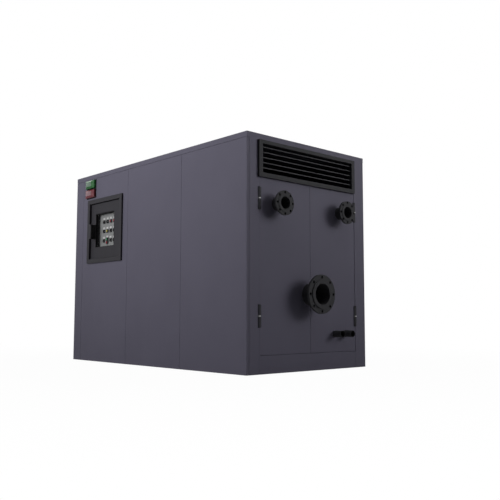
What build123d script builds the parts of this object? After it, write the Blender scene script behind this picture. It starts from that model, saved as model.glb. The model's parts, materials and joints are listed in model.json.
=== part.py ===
from build123d import *
import os

# Gas boiler in a floor-standing steel cabinet. Lengths are in millimetres.
# X runs along the control side to the service end, Y from the control side to the back, Z up.
# The origin is on the floor, under the middle of the cabinet.

# Cabinet shell
LENGTH = 2832.0
WIDTH = 1520.0
HEIGHT = 2000.0
PANEL_THICKNESS = 28.0
PANEL_SET_BACK = 2.0
CORNER_PANEL_WIDTH = 154.0
CORNER_RADIUS = 2.0
ROOF_RIM = 49.0
SEAM_WIDTH = 2.5
SEAM_DEPTH = 8.0
FLOOR_GAP = 1.0
BASE_HEIGHT = 120.0

# Boiler body inside the cabinet
BODY_SIDE_GAP = 110.0
BODY_END_GAP = 150.0
BODY_HEADROOM = 80.0

# Service end: posts, plinth, doors and hinges
END_WALL = 30.0
POST_WIDTH = 145.0
PLINTH_HEIGHT = 152.0
DOOR_THICKNESS = 25.0
DOOR_RECESS = 2.0
DOOR_GAP = 3.0
DOOR_LAP = 3.0
HEADER_LAP = 6.0
PIPE_HOLE_GAP = 5.0
FITTING_SHIFT = -13.5
HINGE_WIDTH = 31.0
HINGE_HEIGHT = 191.0
HINGE_PROUD = 7.0
HINGE_OUTSET = 3.0
HINGE_SHIFT = -3.0
HINGE_TOP_GAP = 183.0
HINGE_BOTTOM_GAP = 320.0
WASHER_HEIGHT = 8.0
WASHER_LIP = 1.5

# Louvre over the service doors
LOUVRE_LAP = 8.0
LOUVRE_TOP_GAP = 51.0
LOUVRE_HEIGHT = 315.0
LOUVRE_PROUD = 18.0
LOUVRE_SIDE_BORDER = 42.0
LOUVRE_TOP_BORDER = 31.0
LOUVRE_BOTTOM_BORDER = 37.0
SLEEVE_WALL = 3.0
SLEEVE_DEPTH = 45.0
SLEEVE_GAP = 1.0
BLADE_COUNT = 5
BLADE_FIRST = 44.0
BLADE_LAST = 26.0
BLADE_LIP = 7.0
BLADE_THICKNESS = 2.5
BLADE_RUN = 34.0
BLADE_RISE = 11.0

# Upper connections, a pair of flanged pipes
UPPER_SIDE_GAP = 208.5
UPPER_TOP_GAP = 215.0
UPPER_PIPE = 114.3
UPPER_WALL = 3.6
UPPER_REACH = 105.0
UPPER_FLANGE_THICKNESS = 18.0
UPPER_FLANGE_EDGE = 15.5
UPPER_FACE_GAP = 3.0
UPPER_FACE_HEIGHT = 4.0
UPPER_BOLT_CIRCLE = 180.0
UPPER_BOLT_HOLE = 18.0

# Large connection, one flanged pipe on the middle line of the fittings
LARGE_Z = 664.0
LARGE_PIPE = 193.7
LARGE_WALL = 5.0
LARGE_REACH = 148.0
LARGE_FLANGE_THICKNESS = 20.0
LARGE_FLANGE_EDGE = 22.5
LARGE_FACE_GAP = 11.5
LARGE_FACE_HEIGHT = 8.0
LARGE_BOLT_CIRCLE = 295.0
LARGE_BOLT_HOLE = 22.0
BOLT_COUNT = 8
FLANGE_CLEARANCE = 0.3

# Drain stubs
STUB_SIDE_GAP = 143.5
STUB_SPACING = 141.0
STUB_Z = 316.0
STUB_PIPE = 60.3
STUB_WALL = 2.9
STUB_REACH = 97.0

# Control surround, door and box
CONTROL_LEFT_MARGIN = 118.0
CONTROL_RIGHT_MARGIN = 92.0
CONTROL_LAMP_GAP = 28.0
CONTROL_WIDTH = 683.0
CONTROL_HEIGHT = 686.0
CONTROL_BORDER = 44.0
CONTROL_PROUD = 17.0
CONTROL_WALL = 12.0
CONTROL_WALL_DEPTH = 31.0
LEAF_SET_BACK = 22.0
LEAF_THICKNESS = 16.0
LEAF_GAP = 5.5
LEAF_HINGE_GAP = 10.0
PIVOT_INSET = 8.0
PIN_DIAMETER = 8.0
PIN_CLEARANCE = 0.1
PIN_DEPTH = 18.0
PIN_END_GAP = 1.0
WINDOW_LEFT = 102.0
WINDOW_RIGHT = 129.0
WINDOW_BOTTOM = 124.0
WINDOW_TOP = 118.0
PANE_THICKNESS = 4.0
PANE_LAP = 10.0
HANDLE_WIDTH = 43.0
HANDLE_HEIGHT = 148.0
HANDLE_REACH = 60.0
HANDLE_ROUND = 4.0
HANDLE_WINDOW_GAP = 2.0
HANDLE_BOTTOM = 208.0
FASCIA_DEPTH = 50.0
FASCIA_THICKNESS = 3.0
BOX_DEPTH = 100.0

# Switches on the fascia
SWITCH_COLUMN_SHARE = 0.184
SWITCH_ROW_SHARE = 0.2837
SWITCH_COLUMNS = 4
SWITCH_ROWS = 3
SWITCH_SHIFT_X = 9.5
SWITCH_SHIFT_Z = -9.5
SWITCH_SIZE = 30.0
SWITCH_BODY = 17.0
SWITCH_BEVEL = 3.0
CAP_MARGIN = 4.0
CAP_HEIGHT = 5.0
CAP_BEVEL = 2.0
GRIP_WIDTH = 9.0
GRIP_HEIGHT = 8.0
PAIR_SPACING = 27.0

# Signal lamps
LAMP_LEFT_MARGIN = 77.0
LAMP_TOP_GAP = 14.0
LAMP_GAP = 15.0
LAMP_WIDTH = 179.0
LAMP_HEIGHT = 87.0
LAMP_PROUD = 29.0
LAMP_BEVEL = 8.0
LAMP_BEVEL_SIDE = 40.0
LAMP_BEVEL_EDGE = 20.0

# Overrun of every cut past the face it opens
CUT = 1.0

# Places that follow from the sizes: cabinet and panels
LEFT = -LENGTH / 2
RIGHT = LENGTH / 2
FRONT = -WIDTH / 2
BACK = WIDTH / 2
ROOF_BASE = HEIGHT - ROOF_RIM
INNER_FRONT = FRONT + PANEL_THICKNESS
INNER_BACK = BACK - PANEL_THICKNESS
CONTROL_PANEL_WIDTH = CONTROL_LEFT_MARGIN + CONTROL_WIDTH + CONTROL_RIGHT_MARGIN
CONTROL_PANEL_X = (LEFT + CORNER_PANEL_WIDTH, LEFT + CORNER_PANEL_WIDTH + CONTROL_PANEL_WIDTH)
PANEL_ENDS = (LEFT + PANEL_SET_BACK, RIGHT - PANEL_SET_BACK)
PANEL_EDGES = [PANEL_ENDS[0], *CONTROL_PANEL_X, (CONTROL_PANEL_X[1] + RIGHT) / 2, PANEL_ENDS[1]]

# Places at the service end
POST_EDGE = WIDTH / 2 - POST_WIDTH
LOUVRE_REACH = POST_EDGE + LOUVRE_LAP
LOUVRE_TOP = HEIGHT - LOUVRE_TOP_GAP
LOUVRE_BOTTOM = LOUVRE_TOP - LOUVRE_HEIGHT
SLOT_BOTTOM = LOUVRE_BOTTOM + LOUVRE_BOTTOM_BORDER
SLOT_TOP = LOUVRE_TOP - LOUVRE_TOP_BORDER
SLOT_REACH = LOUVRE_REACH - LOUVRE_SIDE_BORDER
BLADE_PITCH = (SLOT_TOP - SLOT_BOTTOM - BLADE_FIRST - BLADE_LAST) / (BLADE_COUNT - 1)
DOOR_FACE = RIGHT - DOOR_RECESS
DOOR_EDGE = POST_EDGE - DOOR_GAP
DOOR_BOTTOM = PLINTH_HEIGHT + DOOR_GAP
DOOR_TOP = LOUVRE_BOTTOM + DOOR_LAP
HEADER_BOTTOM = LOUVRE_BOTTOM + HEADER_LAP
HINGE_RADIUS = (HINGE_WIDTH ** 2 / 4 + HINGE_PROUD ** 2) / (2 * HINGE_PROUD)
HINGE_LEVELS = (DOOR_BOTTOM + HINGE_BOTTOM_GAP, DOOR_TOP - HINGE_TOP_GAP)
UPPER_Z = DOOR_TOP - UPPER_TOP_GAP
UPPER_SIDE = POST_EDGE - UPPER_SIDE_GAP
STUB_LAST = FITTING_SHIFT + POST_EDGE - STUB_SIDE_GAP
BODY_END = RIGHT - BODY_END_GAP
BODY_TOP = UPPER_Z + UPPER_PIPE / 2 + BODY_HEADROOM

# Places of the lamps and controls
GREEN_LAMP_TOP = ROOF_BASE - LAMP_TOP_GAP
RED_LAMP_TOP = GREEN_LAMP_TOP - LAMP_HEIGHT - LAMP_GAP
CONTROL_LEFT = CONTROL_PANEL_X[0] + CONTROL_LEFT_MARGIN
CONTROL_TOP = RED_LAMP_TOP - LAMP_HEIGHT - CONTROL_LAMP_GAP
OPENING_X = (CONTROL_LEFT + CONTROL_BORDER, CONTROL_LEFT + CONTROL_WIDTH - CONTROL_BORDER)
OPENING_Z = (CONTROL_TOP - CONTROL_HEIGHT + CONTROL_BORDER, CONTROL_TOP - CONTROL_BORDER)
LEAF_X = (OPENING_X[0] + LEAF_GAP, OPENING_X[1] - LEAF_HINGE_GAP)
LEAF_Z = (OPENING_Z[0] + LEAF_GAP, OPENING_Z[1] - LEAF_GAP)
LEAF_FACE = FRONT - CONTROL_PROUD + LEAF_SET_BACK
LEAF_BACK = LEAF_FACE + LEAF_THICKNESS
PIVOT_X = LEAF_X[1] - PIVOT_INSET
PIVOT_Y = LEAF_FACE + LEAF_THICKNESS / 2
WINDOW_X = (OPENING_X[0] + WINDOW_LEFT, OPENING_X[1] - WINDOW_RIGHT)
WINDOW_Z = (OPENING_Z[0] + WINDOW_BOTTOM, OPENING_Z[1] - WINDOW_TOP)
FASCIA_FACE = LEAF_FACE + FASCIA_DEPTH
BOX_FACE = FRONT + CONTROL_WALL_DEPTH
SWITCH_FACE = FASCIA_FACE - SWITCH_BODY
SWITCH_COLUMN_PITCH = SWITCH_COLUMN_SHARE * (WINDOW_X[1] - WINDOW_X[0])
SWITCH_ROW_PITCH = SWITCH_ROW_SHARE * (WINDOW_Z[1] - WINDOW_Z[0])


def slab(x, y, z):
    """A box between the low and high ends given for each axis."""
    size = [high - low for low, high in (x, y, z)]
    middle = [(high + low) / 2 for low, high in (x, y, z)]
    return Pos(*middle) * Box(*size)


def grown(span, amount):
    """A span made longer by the same amount at both ends."""
    return (span[0] - amount, span[1] + amount)


def around(middle, length):
    """A span of the given length about its middle."""
    return (middle - length / 2, middle + length / 2)


def rod_x(radius, x, y, z):
    """A round rod along X between the two ends given."""
    return Pos((x[0] + x[1]) / 2, y, z) * Rot(Y=90) * Cylinder(radius, x[1] - x[0])


def round_upright(part, x, y):
    """The part with its upright edge nearest to the place given rounded."""
    upright = part.edges().filter_by(Axis.Z).sort_by_distance((x, y, HEIGHT / 2))[0]
    return fillet(upright, CORNER_RADIUS)


def side_panel(low, high):
    """One panel of the control side: a half seam down each joint, a small round on the corner."""
    panel = slab((low, high), (FRONT, INNER_FRONT), (FLOOR_GAP, ROOF_BASE))
    for end in (low, high):
        if end in PANEL_ENDS:
            panel = round_upright(panel, end, FRONT)
        else:
            seam_y = (FRONT - CUT, FRONT + SEAM_DEPTH)
            panel -= slab(around(end, SEAM_WIDTH), seam_y, grown((FLOOR_GAP, ROOF_BASE), CUT))
    return panel


def control_panel():
    """The left panel, cut out for the wall of the control surround."""
    hole_x = grown(OPENING_X, CONTROL_WALL + SLEEVE_GAP)
    hole_z = grown(OPENING_Z, CONTROL_WALL + SLEEVE_GAP)
    panel = side_panel(PANEL_EDGES[1], PANEL_EDGES[2])
    return panel - slab(hole_x, grown((FRONT, INNER_FRONT), CUT), hole_z)


def base_pan():
    """The floor pan that carries the boiler body and the panels."""
    return slab((LEFT + END_WALL, RIGHT - END_WALL), (INNER_FRONT, INNER_BACK), (0, BASE_HEIGHT))


def roof():
    """The roof with its rim, a shadow seam under the rim and a step for the service end."""
    rim = slab((LEFT, RIGHT), (FRONT, BACK), (ROOF_BASE + SEAM_WIDTH, HEIGHT))
    for x in (LEFT, RIGHT):
        for y in (FRONT, BACK):
            rim = round_upright(rim, x, y)
    seat_x = (LEFT + SEAM_DEPTH, RIGHT - SEAM_DEPTH)
    seat_y = (FRONT + SEAM_DEPTH, BACK - SEAM_DEPTH)
    seat = slab(seat_x, seat_y, (ROOF_BASE, ROOF_BASE + SEAM_WIDTH))
    step = slab((RIGHT - END_WALL, RIGHT + CUT), (INNER_FRONT, INNER_BACK), grown((ROOF_BASE, HEIGHT), CUT))
    return rim + seat - step


def left_end_panel(y):
    """One of the two panels of the plain end."""
    panel = slab((LEFT, LEFT + END_WALL), y, (FLOOR_GAP, ROOF_BASE))
    return panel - slab((LEFT - CUT, LEFT + SEAM_DEPTH), around(0, SEAM_WIDTH), grown((0, HEIGHT), CUT))


def boiler_body():
    """The boiler body that carries the pipes, standing on the floor pan."""
    y = (INNER_FRONT + BODY_SIDE_GAP, INNER_BACK - BODY_SIDE_GAP)
    return slab((LEFT + BODY_END_GAP, BODY_END), y, (BASE_HEIGHT, BODY_TOP))


def service_post(y):
    """One upright of the service end, from floor to roof."""
    return slab((RIGHT - END_WALL, RIGHT), y, (FLOOR_GAP, HEIGHT))


def service_plinth():
    """The panel under the service doors, with a half seam at each post."""
    plinth = slab((RIGHT - END_WALL, RIGHT), (-POST_EDGE, POST_EDGE), (FLOOR_GAP, PLINTH_HEIGHT))
    for y in (-POST_EDGE, POST_EDGE):
        seam_z = grown((FLOOR_GAP, PLINTH_HEIGHT), CUT)
        plinth -= slab((RIGHT - SEAM_DEPTH, RIGHT + CUT), around(y, SEAM_WIDTH), seam_z)
    return plinth


def service_header():
    """The wall over the doors, cut out for the sleeve of the louvre."""
    header = slab((RIGHT - END_WALL, RIGHT), (-POST_EDGE, POST_EDGE), (HEADER_BOTTOM, HEIGHT))
    hole_y = around(FITTING_SHIFT, 2 * (SLOT_REACH + SLEEVE_WALL + SLEEVE_GAP))
    hole_z = grown((SLOT_BOTTOM, SLOT_TOP), SLEEVE_WALL + SLEEVE_GAP)
    return header - slab(grown((RIGHT - END_WALL, RIGHT), CUT), hole_y, hole_z)


def pipe_places():
    """Place and outside size of every pipe that comes through the service doors."""
    upper = [(FITTING_SHIFT + side * UPPER_SIDE, UPPER_Z, UPPER_PIPE) for side in (-1, 1)]
    stubs = [(STUB_LAST - n * STUB_SPACING, STUB_Z, STUB_PIPE) for n in (0, 1)]
    return upper + [(FITTING_SHIFT, LARGE_Z, LARGE_PIPE)] + stubs


def service_door(y):
    """One leaf of the service doors, with holes for the pipes."""
    x = (DOOR_FACE - DOOR_THICKNESS, DOOR_FACE)
    leaf = slab(x, y, (DOOR_BOTTOM, DOOR_TOP))
    for pipe_y, pipe_z, pipe in pipe_places():
        leaf -= rod_x(pipe / 2 + PIPE_HOLE_GAP, grown(x, CUT), pipe_y, pipe_z)
    return leaf


def hinge_middle(side):
    """Y of the hinges on one side of the doors."""
    return side * (POST_EDGE + HINGE_OUTSET) + HINGE_SHIFT


def hinge_slice(side, z, radius, height):
    """A length of the hinge's round barrel, as far as it stands out of the post."""
    barrel = Pos(RIGHT + HINGE_PROUD - HINGE_RADIUS, hinge_middle(side), z) * Cylinder(radius, height)
    ahead = slab((RIGHT, RIGHT + radius), around(hinge_middle(side), 2 * radius), around(z, height))
    return barrel & ahead


def hinge(side, z):
    """A lift-off hinge: two knuckles over the door gap, the upper one with a foot on the door."""
    knuckle = (HINGE_HEIGHT - WASHER_HEIGHT) / 2
    step = (WASHER_HEIGHT + knuckle) / 2
    lower = hinge_slice(side, z - step, HINGE_RADIUS, knuckle)
    upper = hinge_slice(side, z + step, HINGE_RADIUS, knuckle)
    foot_y = sorted((side * DOOR_EDGE, hinge_middle(side) - side * HINGE_WIDTH / 2))
    foot = slab((DOOR_FACE, RIGHT), foot_y, around(z + step, knuckle))
    return [lower, upper + foot]


def hinge_washer(side, z):
    """The bright washer between the knuckles of one hinge."""
    return hinge_slice(side, z, HINGE_RADIUS + WASHER_LIP, WASHER_HEIGHT)


def louvre_frame():
    """The raised frame of the louvre and the sleeve that holds its blades."""
    slot_y = around(FITTING_SHIFT, 2 * SLOT_REACH)
    slot_z = (SLOT_BOTTOM, SLOT_TOP)
    ring_y = around(FITTING_SHIFT, 2 * LOUVRE_REACH)
    ring = slab((RIGHT, RIGHT + LOUVRE_PROUD), ring_y, (LOUVRE_BOTTOM, LOUVRE_TOP))
    sleeve = slab((RIGHT - SLEEVE_DEPTH, RIGHT), grown(slot_y, SLEEVE_WALL), grown(slot_z, SLEEVE_WALL))
    return ring + sleeve - slab(grown((RIGHT - SLEEVE_DEPTH, RIGHT + LOUVRE_PROUD), CUT), slot_y, slot_z)


def louvre_blade(z):
    """One blade: an upright lip in front, then a slope up and inward."""
    lip_top = z + BLADE_LIP / 2
    lip_bottom = z - BLADE_LIP / 2
    slope = BLADE_RISE / BLADE_RUN
    drop = BLADE_THICKNESS * (1 + slope ** 2) ** 0.5
    outline = [
        (RIGHT, lip_bottom),
        (RIGHT, lip_top),
        (RIGHT - BLADE_RUN, lip_top + BLADE_RISE),
        (RIGHT - BLADE_RUN, lip_top + BLADE_RISE - drop),
        (RIGHT - BLADE_THICKNESS, lip_top + BLADE_THICKNESS * slope - drop),
        (RIGHT - BLADE_THICKNESS, lip_bottom),
    ]
    face = make_face(Polyline(*outline, close=True))
    return Pos(0, FITTING_SHIFT, 0) * extrude(Plane.XZ * face, SLOT_REACH, both=True)


def pipe(y, z, outside, wall, end):
    """An open pipe from the boiler body."""
    x = (BODY_END, end)
    return rod_x(outside / 2, x, y, z) - rod_x(outside / 2 - wall, grown(x, CUT), y, z)


def flange(y, z, outside, x, rim, face, face_height, circle, hole):
    """A drilled ring around the end of a pipe, with a raised sealing face."""
    end = x[1] + face_height
    ring = rod_x(rim / 2, x, y, z) + rod_x(face / 2, (x[0], end), y, z)
    ring -= rod_x(outside / 2 + FLANGE_CLEARANCE, grown((x[0], end), CUT), y, z)
    drill = rod_x(hole / 2, grown(x, CUT), 0, circle / 2)
    for n in range(BOLT_COUNT):
        ring -= Pos(0, y, z) * Rot(X=n * 360 / BOLT_COUNT) * drill
    return ring


def upper_pipe(side):
    """One of the two upper pipes, flush with the face of its flange."""
    end = RIGHT + UPPER_REACH + UPPER_FACE_HEIGHT
    return pipe(FITTING_SHIFT + side * UPPER_SIDE, UPPER_Z, UPPER_PIPE, UPPER_WALL, end)


def upper_flange(side):
    """The flange of one of the two upper pipes."""
    x = (RIGHT + UPPER_REACH - UPPER_FLANGE_THICKNESS, RIGHT + UPPER_REACH)
    rim = UPPER_BOLT_CIRCLE + 2 * UPPER_FLANGE_EDGE
    face = UPPER_BOLT_CIRCLE - UPPER_BOLT_HOLE - 2 * UPPER_FACE_GAP
    sizes = (rim, face, UPPER_FACE_HEIGHT, UPPER_BOLT_CIRCLE, UPPER_BOLT_HOLE)
    return flange(FITTING_SHIFT + side * UPPER_SIDE, UPPER_Z, UPPER_PIPE, x, *sizes)


def large_pipe():
    """The large pipe between the doors, flush with the face of its flange."""
    end = RIGHT + LARGE_REACH + LARGE_FACE_HEIGHT
    return pipe(FITTING_SHIFT, LARGE_Z, LARGE_PIPE, LARGE_WALL, end)


def large_flange():
    """The flange of the large pipe."""
    x = (RIGHT + LARGE_REACH - LARGE_FLANGE_THICKNESS, RIGHT + LARGE_REACH)
    rim = LARGE_BOLT_CIRCLE + 2 * LARGE_FLANGE_EDGE
    face = LARGE_BOLT_CIRCLE - LARGE_BOLT_HOLE - 2 * LARGE_FACE_GAP
    sizes = (rim, face, LARGE_FACE_HEIGHT, LARGE_BOLT_CIRCLE, LARGE_BOLT_HOLE)
    return flange(FITTING_SHIFT, LARGE_Z, LARGE_PIPE, x, *sizes)


def drain_stub(n):
    """A plain open pipe, counted from the back."""
    return pipe(STUB_LAST - n * STUB_SPACING, STUB_Z, STUB_PIPE, STUB_WALL, RIGHT + STUB_REACH)


def control_surround():
    """The raised frame around the control door, with its wall through the panel."""
    ring_x = grown(OPENING_X, CONTROL_BORDER)
    ring_z = grown(OPENING_Z, CONTROL_BORDER)
    ring = slab(ring_x, (FRONT - CONTROL_PROUD, FRONT), ring_z)
    wall_y = (FRONT, FRONT + CONTROL_WALL_DEPTH)
    wall = slab(grown(OPENING_X, CONTROL_WALL), wall_y, grown(OPENING_Z, CONTROL_WALL))
    through = grown((FRONT - CONTROL_PROUD, FRONT + CONTROL_WALL_DEPTH), CUT)
    return ring + wall - slab(OPENING_X, through, OPENING_Z)


def control_box():
    """The box behind the surround, with a pocket that holds the fascia."""
    box_y = (BOX_FACE, BOX_FACE + BOX_DEPTH)
    box = slab(grown(OPENING_X, CONTROL_WALL), box_y, grown(OPENING_Z, CONTROL_WALL))
    return box - slab(WINDOW_X, (BOX_FACE - CUT, FASCIA_FACE + FASCIA_THICKNESS), WINDOW_Z)


def control_fascia():
    """The plate at the bottom of the pocket."""
    return slab(WINDOW_X, (FASCIA_FACE, FASCIA_FACE + FASCIA_THICKNESS), WINDOW_Z)


def control_door():
    """The hinged leaf, with a window, a seat for its pane and a hole for each pin."""
    leaf = slab(LEAF_X, (LEAF_FACE, LEAF_BACK), LEAF_Z)
    leaf -= slab(WINDOW_X, grown((LEAF_FACE, LEAF_BACK), CUT), WINDOW_Z)
    seat_y = (LEAF_BACK - PANE_THICKNESS, LEAF_BACK + CUT)
    leaf -= slab(grown(WINDOW_X, PANE_LAP), seat_y, grown(WINDOW_Z, PANE_LAP))
    radius = PIN_DIAMETER / 2 + PIN_CLEARANCE
    depth = PIN_DEPTH + PIN_END_GAP
    for z in (around(LEAF_Z[0], 2 * depth), around(LEAF_Z[1], 2 * depth)):
        leaf -= Pos(PIVOT_X, PIVOT_Y, (z[0] + z[1]) / 2) * Cylinder(radius, z[1] - z[0])
    return leaf


def control_door_window():
    """The clear pane in the seat behind the window."""
    pane_y = (LEAF_BACK - PANE_THICKNESS, LEAF_BACK)
    return slab(grown(WINDOW_X, PANE_LAP), pane_y, grown(WINDOW_Z, PANE_LAP))


def control_door_handle():
    """The block handle beside the window."""
    right = WINDOW_X[0] - HANDLE_WINDOW_GAP
    bottom = LEAF_Z[0] + HANDLE_BOTTOM
    y = (LEAF_FACE - HANDLE_REACH, LEAF_FACE)
    block = slab((right - HANDLE_WIDTH, right), y, (bottom, bottom + HANDLE_HEIGHT))
    return fillet(block.faces().sort_by(Axis.Y)[0].edges(), HANDLE_ROUND)


def control_door_pins():
    """The two pins that the leaf turns on, one in each end of the surround wall."""
    low = (OPENING_Z[0], LEAF_Z[0] + PIN_DEPTH)
    high = (LEAF_Z[1] - PIN_DEPTH, OPENING_Z[1])
    ends = [Pos(PIVOT_X, PIVOT_Y, sum(z) / 2) * Cylinder(PIN_DIAMETER / 2, z[1] - z[0]) for z in (low, high)]
    return Compound(ends)


def switch_place(row, column):
    """X and Z of a switch; rows count from the top, columns from the left."""
    middle_x = sum(WINDOW_X) / 2 + SWITCH_SHIFT_X
    middle_z = sum(WINDOW_Z) / 2 + SWITCH_SHIFT_Z
    x = middle_x + (column - (SWITCH_COLUMNS - 1) / 2) * SWITCH_COLUMN_PITCH
    z = middle_z - (row - (SWITCH_ROWS - 1) / 2) * SWITCH_ROW_PITCH
    return x, z


# Row and column of the coloured switches; all others turn with a black grip
RED_SWITCHES = [(0, 2), (0, 3)]
YELLOW_SWITCHES = [(1, 1)]
PAIR_SWITCH = (2, 1)


def switch_block(x, z, height):
    """The bevelled black body of one switch."""
    block = slab(around(x, SWITCH_SIZE), (SWITCH_FACE, FASCIA_FACE), around(z, height))
    return chamfer(block.faces().sort_by(Axis.Y)[0].edges(), SWITCH_BEVEL)


def switch_bodies():
    """The bodies of all switches, with a grip on those that turn."""
    bodies = []
    for row in range(SWITCH_ROWS):
        for column in range(SWITCH_COLUMNS):
            x, z = switch_place(row, column)
            if (row, column) == PAIR_SWITCH:
                body = switch_block(x, z, SWITCH_SIZE + PAIR_SPACING)
            else:
                body = switch_block(x, z, SWITCH_SIZE)
            if (row, column) not in RED_SWITCHES + YELLOW_SWITCHES + [PAIR_SWITCH]:
                grip_y = (SWITCH_FACE - GRIP_HEIGHT, SWITCH_FACE)
                body += slab(around(x, GRIP_WIDTH), grip_y, around(z, SWITCH_SIZE - 2 * SWITCH_BEVEL))
            bodies.append(body)
    return Compound(bodies)


def switch_cap(x, z):
    """One coloured cap on the body of a switch."""
    size = SWITCH_SIZE - 2 * CAP_MARGIN
    cap = slab(around(x, size), (SWITCH_FACE - CAP_HEIGHT, SWITCH_FACE), around(z, size))
    return chamfer(cap.faces().sort_by(Axis.Y)[0].edges(), CAP_BEVEL)


def red_caps():
    """Caps of the red switches and of the lower half of the pair."""
    x, z = switch_place(*PAIR_SWITCH)
    caps = [switch_cap(*switch_place(*place)) for place in RED_SWITCHES]
    return Compound(caps + [switch_cap(x, z - PAIR_SPACING / 2)])


def yellow_cap():
    """Cap of the yellow switch."""
    return switch_cap(*switch_place(*YELLOW_SWITCHES[0]))


def green_cap():
    """Cap of the upper half of the pair."""
    x, z = switch_place(*PAIR_SWITCH)
    return switch_cap(x, z + PAIR_SPACING / 2)


def lamp_profile(width, bevel):
    """Outline of a lamp across its face, with a bevel of the given width at both ends."""
    side = [(width / 2, 0), (width / 2, LAMP_PROUD - LAMP_BEVEL), (width / 2 - bevel, LAMP_PROUD)]
    return make_face(Polyline(*side, *[(-x, y) for x, y in reversed(side)], close=True))


def lamp(top):
    """A signal lamp: a profile along it crossed with an upright one."""
    middle = (CONTROL_PANEL_X[0] + LAMP_LEFT_MARGIN + LAMP_WIDTH / 2, FRONT, top - LAMP_HEIGHT / 2)
    along = Plane(middle, x_dir=(1, 0, 0), z_dir=(0, 0, -1)) * lamp_profile(LAMP_WIDTH, LAMP_BEVEL_SIDE)
    upright = Plane(middle, x_dir=(0, 0, 1), z_dir=(1, 0, 0)) * lamp_profile(LAMP_HEIGHT, LAMP_BEVEL_EDGE)
    return extrude(along, LAMP_HEIGHT / 2, both=True) & extrude(upright, LAMP_WIDTH / 2, both=True)


def mirrored(part):
    """The same part on the back of the cabinet."""
    return mirror(part, about=Plane.XZ)


def nodes():
    """Every node of the boiler by name."""
    parts = {"base_pan": base_pan(), "roof": roof(), "boiler_body": boiler_body()}

    # Long sides
    corner = side_panel(PANEL_EDGES[0], PANEL_EDGES[1])
    plain = [side_panel(low, high) for low, high in zip(PANEL_EDGES[1:], PANEL_EDGES[2:])]
    names = ("left", "middle", "right")
    parts["front_corner_panel"] = corner
    parts["rear_corner_panel"] = mirrored(corner)
    parts["front_panel_left"] = control_panel()
    for name, panel in zip(names, plain):
        parts["rear_panel_" + name] = mirrored(panel)
        if name != names[0]:
            parts["front_panel_" + name] = panel

    # Plain end
    parts["left_end_panel_front"] = left_end_panel((INNER_FRONT, 0))
    parts["left_end_panel_rear"] = left_end_panel((0, INNER_BACK))

    # Service end
    parts["service_post_front"] = service_post((INNER_FRONT, -POST_EDGE))
    parts["service_post_rear"] = service_post((POST_EDGE, INNER_BACK))
    parts["service_plinth"] = service_plinth()
    parts["service_header"] = service_header()
    parts["service_door_front"] = service_door((-DOOR_EDGE, -DOOR_GAP / 2))
    parts["service_door_rear"] = service_door((DOOR_GAP / 2, DOOR_EDGE))
    for side, name in ((-1, "front"), (1, "rear")):
        halves = [half for z in HINGE_LEVELS for half in hinge(side, z)]
        parts["hinges_" + name] = Compound(halves)
    parts["hinge_washers"] = Compound([hinge_washer(side, z) for side in (-1, 1) for z in HINGE_LEVELS])
    parts["louvre_frame"] = louvre_frame()
    first = SLOT_BOTTOM + BLADE_FIRST
    parts["louvre_blades"] = Compound([louvre_blade(first + n * BLADE_PITCH) for n in range(BLADE_COUNT)])

    # Pipes
    parts["upper_pipes"] = Compound([upper_pipe(side) for side in (-1, 1)])
    parts["upper_flanges"] = Compound([upper_flange(side) for side in (-1, 1)])
    parts["large_pipe"] = large_pipe()
    parts["large_flange"] = large_flange()
    parts["drain_stub_rear"] = drain_stub(0)
    parts["drain_stub_front"] = drain_stub(1)

    # Controls
    parts["control_surround"] = control_surround()
    parts["control_box"] = control_box()
    parts["control_fascia"] = control_fascia()
    parts["switch_bodies"] = switch_bodies()
    parts["switch_caps_red"] = red_caps()
    parts["switch_cap_yellow"] = yellow_cap()
    parts["switch_cap_green"] = green_cap()
    parts["control_door"] = control_door()
    parts["control_door_window"] = control_door_window()
    parts["control_door_handle"] = control_door_handle()
    parts["control_door_pins"] = control_door_pins()
    parts["run_lamp"] = lamp(GREEN_LAMP_TOP)
    parts["fault_lamp"] = lamp(RED_LAMP_TOP)
    return parts


os.makedirs("parts", exist_ok=True)
for name, part in nodes().items():
    export_step(part, "parts/" + name + ".step")
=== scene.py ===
import json
import math

import bmesh
import bpy
from mathutils import Matrix, Vector


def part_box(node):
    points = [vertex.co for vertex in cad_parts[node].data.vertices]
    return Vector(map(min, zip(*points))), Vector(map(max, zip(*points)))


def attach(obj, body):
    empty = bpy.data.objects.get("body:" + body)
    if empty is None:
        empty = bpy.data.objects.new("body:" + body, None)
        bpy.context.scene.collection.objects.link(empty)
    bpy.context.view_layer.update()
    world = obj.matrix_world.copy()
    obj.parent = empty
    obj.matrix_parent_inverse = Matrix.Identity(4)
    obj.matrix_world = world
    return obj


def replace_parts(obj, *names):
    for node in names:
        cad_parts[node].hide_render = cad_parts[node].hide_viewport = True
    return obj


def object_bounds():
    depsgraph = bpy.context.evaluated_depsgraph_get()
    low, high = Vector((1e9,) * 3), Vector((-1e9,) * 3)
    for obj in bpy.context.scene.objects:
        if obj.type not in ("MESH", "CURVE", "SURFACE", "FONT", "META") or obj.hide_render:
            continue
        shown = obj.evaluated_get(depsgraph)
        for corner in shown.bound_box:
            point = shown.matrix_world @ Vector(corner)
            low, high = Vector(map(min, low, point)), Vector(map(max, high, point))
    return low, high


# Gas boiler in a floor-standing steel cabinet, in metres.
# X runs along the control side to the service end, Y from the control side to the back, Z up.
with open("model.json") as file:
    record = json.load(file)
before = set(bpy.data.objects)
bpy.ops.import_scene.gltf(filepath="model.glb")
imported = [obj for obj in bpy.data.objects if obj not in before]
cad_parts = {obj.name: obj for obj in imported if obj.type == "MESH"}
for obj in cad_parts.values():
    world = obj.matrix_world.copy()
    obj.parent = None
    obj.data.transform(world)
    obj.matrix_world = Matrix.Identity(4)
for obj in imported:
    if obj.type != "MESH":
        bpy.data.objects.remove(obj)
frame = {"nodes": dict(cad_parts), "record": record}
CAD_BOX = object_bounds()

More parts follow.
